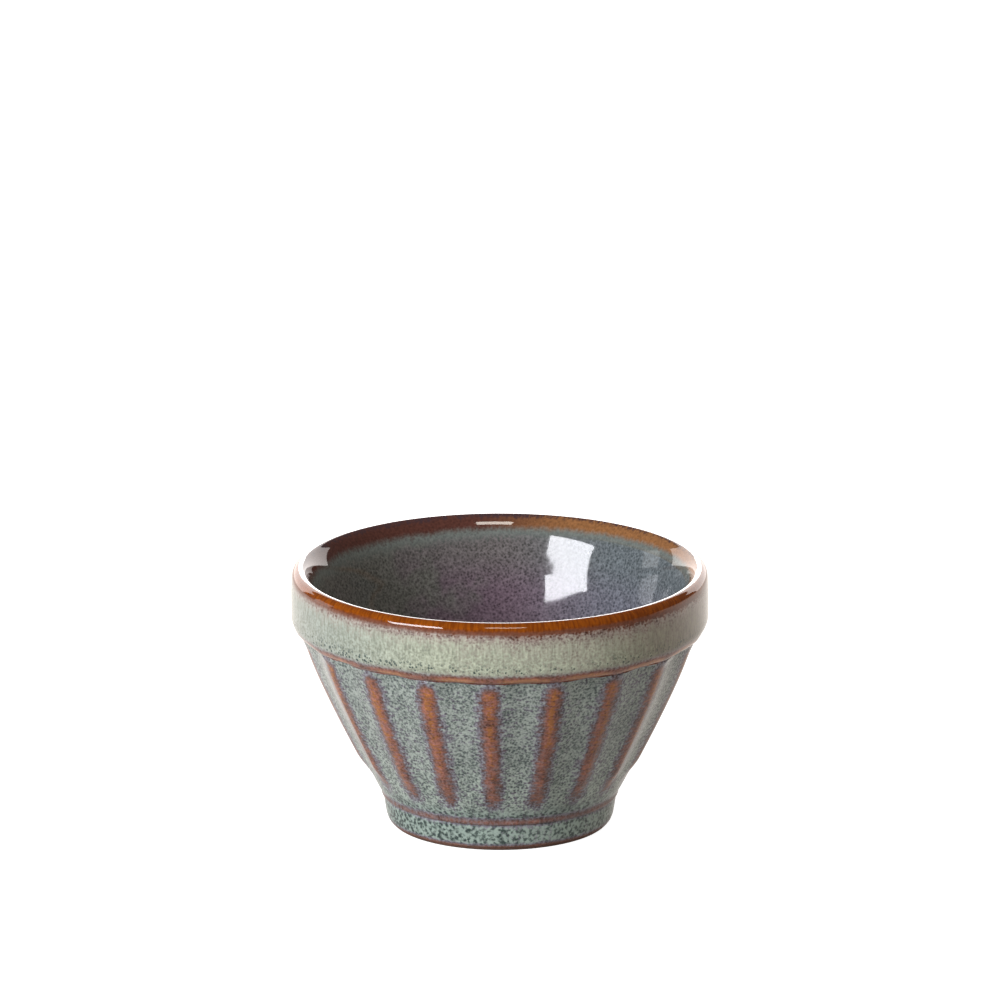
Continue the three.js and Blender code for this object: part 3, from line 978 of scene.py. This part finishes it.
def finish_outside(glaze):
    """Speckled green that is coarser on the foot, and streaked and cream on the collar."""
    t = glaze.t
    patterns = glaze.patterns
    colours = glaze.colours

    # Zones of the wall
    foot = glaze.sizes.foot_height
    edge = glaze.sizes.clay_height - glaze.sizes.collar_height
    bowl = glaze.above(foot, BOWL_START)
    high_bowl = glaze.above(foot, HIGH_BOWL_START)
    ridges = glaze.between(foot, RIDGES_START, edge, RIDGES_STOP)
    edge_up = glaze.above(edge, EDGE_START)
    collar = glaze.above(edge, COLLAR_START)
    gathered = glaze.between(edge, GATHER_START, edge, GATHER_STOP)
    near_lip = glaze.above(edge, NEAR_LIP_START)
    # left: the collar's left side, where its pale part takes a painted tone for the key light falling there
    left = t.smooth(t.times(glaze.parts["X"], -1), *COLLAR_PAINTED_LEFT)
    # right: the collar's right side, where painted shade darkens and browns the glaze
    right = t.smooth(glaze.parts["X"], *COLLAR_PAINTED_SHADE)

    # Pooled glaze of the foot, the bowl and the collar
    grain = t.lerp(bowl, patterns["Blotch"], patterns["Mottle"])
    drift = t.times(t.minus(t.plus(patterns["Cloud"], patterns["Patch"]), 1.0), DRIFT)
    foot_pool = glaze.tone(t.plus(t.smooth(grain, *FOOT_CONTRAST), drift), "foot")
    bowl_pale = t.mix(high_bowl, colours.pool_low, colours.pool_pale)
    bowl_pool = t.mix(t.plus(t.smooth(grain, *BOWL_CONTRAST), drift), colours.pool_dark, bowl_pale)
    hair = t.smooth(patterns["Hair"], *COLLAR_HAIR_CONTRAST)
    collar_grain = t.lerp(t.lerp(near_lip, COLLAR_HAIRS, NEAR_LIP_HAIRS), grain, hair)
    # Painted shade on the right side: the dark part darker and browner away from the key light
    collar_dark = t.mix(right, colours.collar_dark, colours.collar_dark_painted_shade)
    # Painted tone on the left side: the pale part darker and bluer where the key light falls
    collar_pale = t.mix(left, colours.collar_pale, colours.collar_pale_painted_left)
    # Painted shade on the right side: the pale part darker and browner away from the key light
    collar_pale = t.mix(right, collar_pale, colours.collar_pale_painted_shade)
    collar_pool = t.mix(collar_grain, collar_dark, collar_pale)
    pool = t.mix(collar, t.mix(bowl, foot_pool, bowl_pool), collar_pool)
    specks = t.times(patterns["Speck"], t.plus(SPECKS, t.times(gathered, GATHERED_SPECKS)))
    pool = t.mix(specks, pool, colours.speck)

    # Thin glaze of the ridges, the collar's edge and the lip
    collar_haze = t.mix(COLLAR_HAZE, collar_pool, colours.collar_fringe_pale)
    # On the collar's edge the amber turns to the shoulder colour: thin glaze with a painted highlight from
    # the edge's rounding
    edge_amber_and_glint = t.mix(edge_up, colours.amber, colours.shoulder)
    amber = t.mix(near_lip, edge_amber_and_glint, glaze.lip_streaks())
    breaks = {
        "Haze": t.mix(collar, glaze.tone(grain, "haze"), collar_haze),
        "Fringe Dark": t.mix(collar, colours.fringe_dark, colours.collar_fringe_dark),
        "Fringe Pale": t.mix(collar, colours.fringe_pale, colours.collar_fringe_pale),
        "Rust": t.mix(near_lip, colours.rust, colours.lip_rust),
        "Amber": amber,
        "Lip Amber": amber,
    }
    strokes = t.times(t.minus(patterns["Bristle"], 0.5), RIDGE_STROKES, ridges)
    thin = t.plus(glaze.jittered(*OUTER_JITTER), strokes)
    return glaze.finish(pool, thin, OUTER_ROUGHNESS, OUTER_IOR, breaks)


def finish_inside(glaze):
    """Plum that turns blue on the right, and green on the left and under the lip."""
    t = glaze.t
    grain = glaze.patterns["Mottle"]
    upper = t.times(glaze.above(glaze.sizes.lip_band_inside, INNER_TOP_START), INNER_TOP)
    right = t.smooth(glaze.parts["X"], *INNER_RIGHT)
    cloud = t.times(t.minus(glaze.patterns["Cloud"], 0.5), INNER_LEFT_CLOUDS)
    left = t.smooth(t.minus(cloud, glaze.parts["X"]), *INNER_LEFT)
    low_pool = t.mix(right, glaze.tone(grain, "plum"), glaze.tone(grain, "slate"))
    high_pool = t.mix(right, glaze.tone(grain, "moss"), glaze.tone(grain, "teal"))
    pool = t.mix(t.math("MAXIMUM", upper, left), low_pool, high_pool)
    thin = glaze.jittered(*INNER_JITTER)
    return glaze.finish(pool, thin, INNER_ROUGHNESS, INNER_IOR, glaze.run_colours())


def finish_lip(glaze):
    """Thin amber over the clay, running into the coats on both sides."""
    t = glaze.t
    colours = glaze.colours
    pool = glaze.tone(glaze.patterns["Mottle"], "moss")
    flat = t.out("ShaderNodeCombineXYZ", {"X": glaze.parts["X"], "Y": glaze.parts["Y"]})
    from_axis = t.add("ShaderNodeVectorMath", {0: flat}, operation="LENGTH").outputs["Value"]
    crest = glaze.sizes.collar_radius - glaze.sizes.lip_round
    outside = t.smooth(from_axis, *(crest + place for place in LIP_OUTSIDE))
    amber = glaze.lip_streaks()
    outer = {
        "Fringe Dark": colours.collar_fringe_dark,
        "Fringe Pale": colours.collar_fringe_pale,
        "Rust": colours.lip_rust,
        "Amber": amber,
        "Lip Amber": amber,
    }
    breaks = glaze.run_colours()
    for name, colour_outside in outer.items():
        breaks[name] = t.mix(outside, breaks[name], colour_outside)
    return glaze.finish(pool, glaze.jittered(*LIP_JITTER), INNER_ROUGHNESS, INNER_IOR, breaks)


def finish_underside(glaze):
    """The foot's speckled green on the hidden underside."""
    pool = glaze.tone(glaze.patterns["Blotch"], "foot")
    return glaze.finish(pool, glaze.jittered(*BASE_JITTER), OUTER_ROUGHNESS, OUTER_IOR)


def fired_clay_material(colours):
    """Bare clay with a fine dry grain."""
    material, t, shader = fresh_material("fired_clay")
    coordinates = t.add("ShaderNodeTexCoord").outputs["Object"]
    grain = t.smooth(t.noise(coordinates, CLAY_GRAIN, detail=3.0, roughness=0.6), *CLAY_CONTRAST)
    patches = t.noise(coordinates, CLAY_PATCHES)
    share = t.plus(t.times(grain, 0.6), t.times(patches, 0.4))
    relief = {**CLAY_RELIEF, "Height": grain}
    finished = {
        "Base Color": t.mix(share, colours.clay_dark, colours.clay_pale),
        "Roughness": t.plus(0.62, t.times(grain, 0.2)),
        "Normal": t.out("ShaderNodeBump", relief),
    }
    t.fill(shader, finished)
    return material


# Pieces


def settings(context):
    return context.scene.cup_sizes, context.scene.glaze_colours


def add_coat(context, section, piece, node, finish_coat):
    """Builds the coat of glaze on one section of the outline, in a slot named as its node."""
    sizes, colours = settings(context)
    finish = finish_coat(GlazeMaterial(node, sizes, colours))
    revolved_piece(piece, node, Outline(sizes).coat(section), finish, sizes)


class CUP_OT_clay_body(bpy.types.Operator):
    """Make the fired clay body with its foot ring, ridges, collar and lip"""

    bl_idname = "cup.clay_body"
    bl_label = "Clay body"

    def execute(self, context):
        sizes, colours = settings(context)
        rows = Outline(sizes).clay()
        revolved_piece("fired_clay", "clay_body", rows, fired_clay_material(colours), sizes)
        return {"FINISHED"}


class CUP_OT_outer_glaze(bpy.types.Operator):
    """Make the green coat of glaze on the outside"""

    bl_idname = "cup.outer_glaze"
    bl_label = "Outer glaze"

    def execute(self, context):
        add_coat(context, "outside", "outer_coat", "outer_glaze", finish_outside)
        return {"FINISHED"}


class CUP_OT_lip_glaze(bpy.types.Operator):
    """Make the amber coat of glaze over the lip"""

    bl_idname = "cup.lip_glaze"
    bl_label = "Lip glaze"

    def execute(self, context):
        add_coat(context, "lip", "lip_coat", "lip_glaze", finish_lip)
        return {"FINISHED"}


class CUP_OT_inner_glaze(bpy.types.Operator):
    """Make the plum coat of glaze inside the bowl"""

    bl_idname = "cup.inner_glaze"
    bl_label = "Inner glaze"

    def execute(self, context):
        add_coat(context, "inside", "inner_coat", "inner_glaze", finish_inside)
        return {"FINISHED"}


class CUP_OT_base_glaze(bpy.types.Operator):
    """Make the coat of glaze on the underside, inside the foot ring"""

    bl_idname = "cup.base_glaze"
    bl_label = "Base glaze"

    def execute(self, context):
        add_coat(context, "underside", "base_coat", "base_glaze", finish_underside)
        return {"FINISHED"}


# Stage

BLACK = (0.0, 0.0, 0.0)
WHITE = (1.0, 1.0, 1.0)
FLOOR_GREY = (0.40, 0.40, 0.40)
FLOOR_SEEN = (0.95, 0.95, 0.95)
FLOOR_MIRRORED = (0.95, 0.87, 0.79)
WORLD_FILL = 0.12
FLOOR_BEHIND = (-0.1, 0.15)
SENSOR_WIDTH = 36.0
CAMERA_REACH = 50.0


class StudioSettings(bpy.types.PropertyGroup):
    """Camera and floor of the studio."""

    camera_azimuth: angle("Camera azimuth", "Turn of the camera from the front", -1.74)
    camera_elevation: angle("Camera elevation", "Elevation of the camera over the cup", 16.84)
    camera_distance: length("Camera distance", "Distance from the middle of the cup", 1.98)
    camera_lens: bpy.props.FloatProperty(
        name="Lens", description="Focal length on a 36 mm sensor", default=312.7, unit="CAMERA"
    )
    aim_height: length("Aim height", "Height of the middle of the cup", 0.02727)
    look_height: length("Look height", "Height over the cup where the camera looks", 0.07525)
    floor_size: length("Floor size", "Width of the floor", 8.0)


@dataclass
class SoftBox:
    """A soft box: its direction in degrees from the camera's side, its size and its brightness."""

    name: str
    azimuth: float
    elevation: float
    distance: float
    width: float
    height: float
    radiance: float
    tint: tuple = WHITE
    roll: float = 0.0
    mirrored: bool = True


SOFT_BOXES = (
    SoftBox("key", -48.0, 22.0, 1.2, 0.62, 0.31, 22.0, (0.94, 0.95, 1.0), 20.0),
    SoftBox("key_fill", -42.0, 28.0, 1.3, 1.0, 0.8, 0.9, mirrored=False),
    SoftBox("fill", 80.0, 12.0, 1.6, 1.5, 1.0, 0.93, (1.0, 0.83, 0.71), mirrored=False),
    SoftBox("side", -112.0, 8.0, 1.2, 0.32, 0.5, 1.6),
    SoftBox("top", 4.0, 54.0, 1.2, 0.36, 0.16, 15.0, (1.0, 0.95, 0.86)),
    SoftBox("backdrop", 180.0, 14.0, 1.6, 3.3, 1.05, 2.8, (1.0, 0.94, 0.91)),
    SoftBox("back", 180.0, 11.0, 1.5, 0.5, 0.5, 6.0),
)


def studio_direction(studio, azimuth, elevation):
    """Unit vector from the cup, with the azimuth in degrees to the right of the camera."""
    turn = studio.camera_azimuth - math.pi / 2 + math.radians(azimuth)
    rise = math.radians(elevation)
    return Vector((math.cos(turn) * math.cos(rise), math.sin(turn) * math.cos(rise), math.sin(rise)))


def aimed_object(name, data, position, target):
    thing = bpy.data.objects.new(name, data)
    thing.location = position
    thing.rotation_euler = (target - position).to_track_quat("-Z", "Y").to_euler()
    bpy.context.scene.collection.objects.link(thing)
    return thing


def floor_material():
    """Pale floor that the camera sees as white, but for the shadow on it."""
    material, t, shader = fresh_material("studio_floor")
    path = t.add("ShaderNodeLightPath").outputs
    coordinates = t.add("ShaderNodeTexCoord").outputs["Object"]
    behind = t.add("ShaderNodeSeparateXYZ", {0: coordinates}).outputs["Y"]
    mirrored = t.times(path["Is Glossy Ray"], t.smooth(behind, *FLOOR_BEHIND))
    glow = t.mix(mirrored, BLACK, FLOOR_MIRRORED)
    finished = {
        "Base Color": FLOOR_GREY,
        "Roughness": 0.9,
        "Specular IOR Level": 0.1,
        "Emission Color": t.mix(path["Is Camera Ray"], glow, FLOOR_SEEN),
        "Emission Strength": 1.0,
    }
    t.fill(shader, finished)
    return material


def studio_world():
    """World that is white to the camera and a plain soft fill to the cup."""
    world = bpy.data.worlds.new("studio")
    world.use_nodes = True
    nodes = world.node_tree.nodes
    t = Tree(world.node_tree)
    soft = nodes["Background"]
    t.fill(soft, {"Color": WHITE, "Strength": WORLD_FILL})
    white = t.out("ShaderNodeBackground", {"Color": WHITE, "Strength": 1.0})
    seen = t.add("ShaderNodeLightPath").outputs["Is Camera Ray"]
    mixed = t.out("ShaderNodeMixShader", {0: seen, 1: soft.outputs[0], 2: white})
    t.fill(nodes["World Output"], {"Surface": mixed})
    return world


def add_soft_box(box, studio, target):
    lamp = bpy.data.lights.new(box.name, "AREA")
    lamp.shape = "RECTANGLE"
    lamp.size = box.width
    lamp.size_y = box.height
    lamp.energy = box.radiance * math.pi * box.width * box.height
    lamp.color = box.tint
    place = target + studio_direction(studio, box.azimuth, box.elevation) * box.distance
    soft_box = aimed_object(box.name, lamp, place, target)
    soft_box.rotation_euler.rotate_axis("Z", math.radians(box.roll))
    soft_box.visible_camera = False
    soft_box.visible_glossy = box.mirrored


class CUP_OT_stage(bpy.types.Operator):
    """Make the floor, the soft boxes, the world and the camera"""

    bl_idname = "cup.stage"
    bl_label = "Studio"

    def execute(self, context):
        scene = context.scene
        studio = scene.studio_settings
        half = studio.floor_size / 2
        mesh = bpy.data.meshes.new("studio_floor")
        corners = [(-half, -half, 0.0), (half, -half, 0.0), (half, half, 0.0), (-half, half, 0.0)]
        mesh.from_pydata(corners, [], [(0, 1, 2, 3)])
        mesh.materials.append(floor_material())
        floor = bpy.data.objects.new("studio_floor", mesh)
        scene.collection.objects.link(floor)

        middle = Vector((0.0, 0.0, studio.aim_height))
        for box in SOFT_BOXES:
            add_soft_box(box, studio, middle)

        scene.world = studio_world()
        camera = bpy.data.cameras.new("camera")
        camera.lens = studio.camera_lens
        camera.sensor_width = SENSOR_WIDTH
        camera.clip_end = CAMERA_REACH
        rise = math.degrees(studio.camera_elevation)
        place = middle + studio_direction(studio, 0.0, rise) * studio.camera_distance
        scene.camera = aimed_object("camera", camera, place, Vector((0.0, 0.0, studio.look_height)))
        scene.view_settings.view_transform = "Standard"
        return {"FINISHED"}


class CUP_PT_panel(bpy.types.Panel):
    """Lists the steps and the settings of the cup"""

    bl_idname = "CUP_PT_panel"
    bl_label = "Fluted cup"
    bl_space_type = "VIEW_3D"
    bl_region_type = "UI"
    bl_category = "Cup"

    def draw(self, context):
        for operator in OPERATORS:
            self.layout.operator(operator.bl_idname)
        for owner in (*settings(context), context.scene.studio_settings):
            box = self.layout.box()
            for name in owner.__annotations__:
                box.prop(owner, name)


PROPERTY_GROUPS = {"cup_sizes": CupSizes, "glaze_colours": GlazeColours, "studio_settings": StudioSettings}
OPERATORS = (
    CUP_OT_clay_body,
    CUP_OT_outer_glaze,
    CUP_OT_lip_glaze,
    CUP_OT_inner_glaze,
    CUP_OT_base_glaze,
    CUP_OT_stage,
)
CLASSES = (*PROPERTY_GROUPS.values(), *OPERATORS, CUP_PT_panel)


def register():
    for cls in CLASSES:
        bpy.utils.register_class(cls)
    for name, group in PROPERTY_GROUPS.items():
        setattr(bpy.types.Scene, name, bpy.props.PointerProperty(type=group))


def unregister():
    for name in PROPERTY_GROUPS:
        delattr(bpy.types.Scene, name)
    for cls in reversed(CLASSES):
        bpy.utils.unregister_class(cls)


def main():
    register()
    bpy.ops.cup.clay_body()
    bpy.ops.cup.outer_glaze()
    bpy.ops.cup.lip_glaze()
    bpy.ops.cup.inner_glaze()
    bpy.ops.cup.base_glaze()
    bpy.ops.cup.stage()


if __name__ == "__main__":
    main()
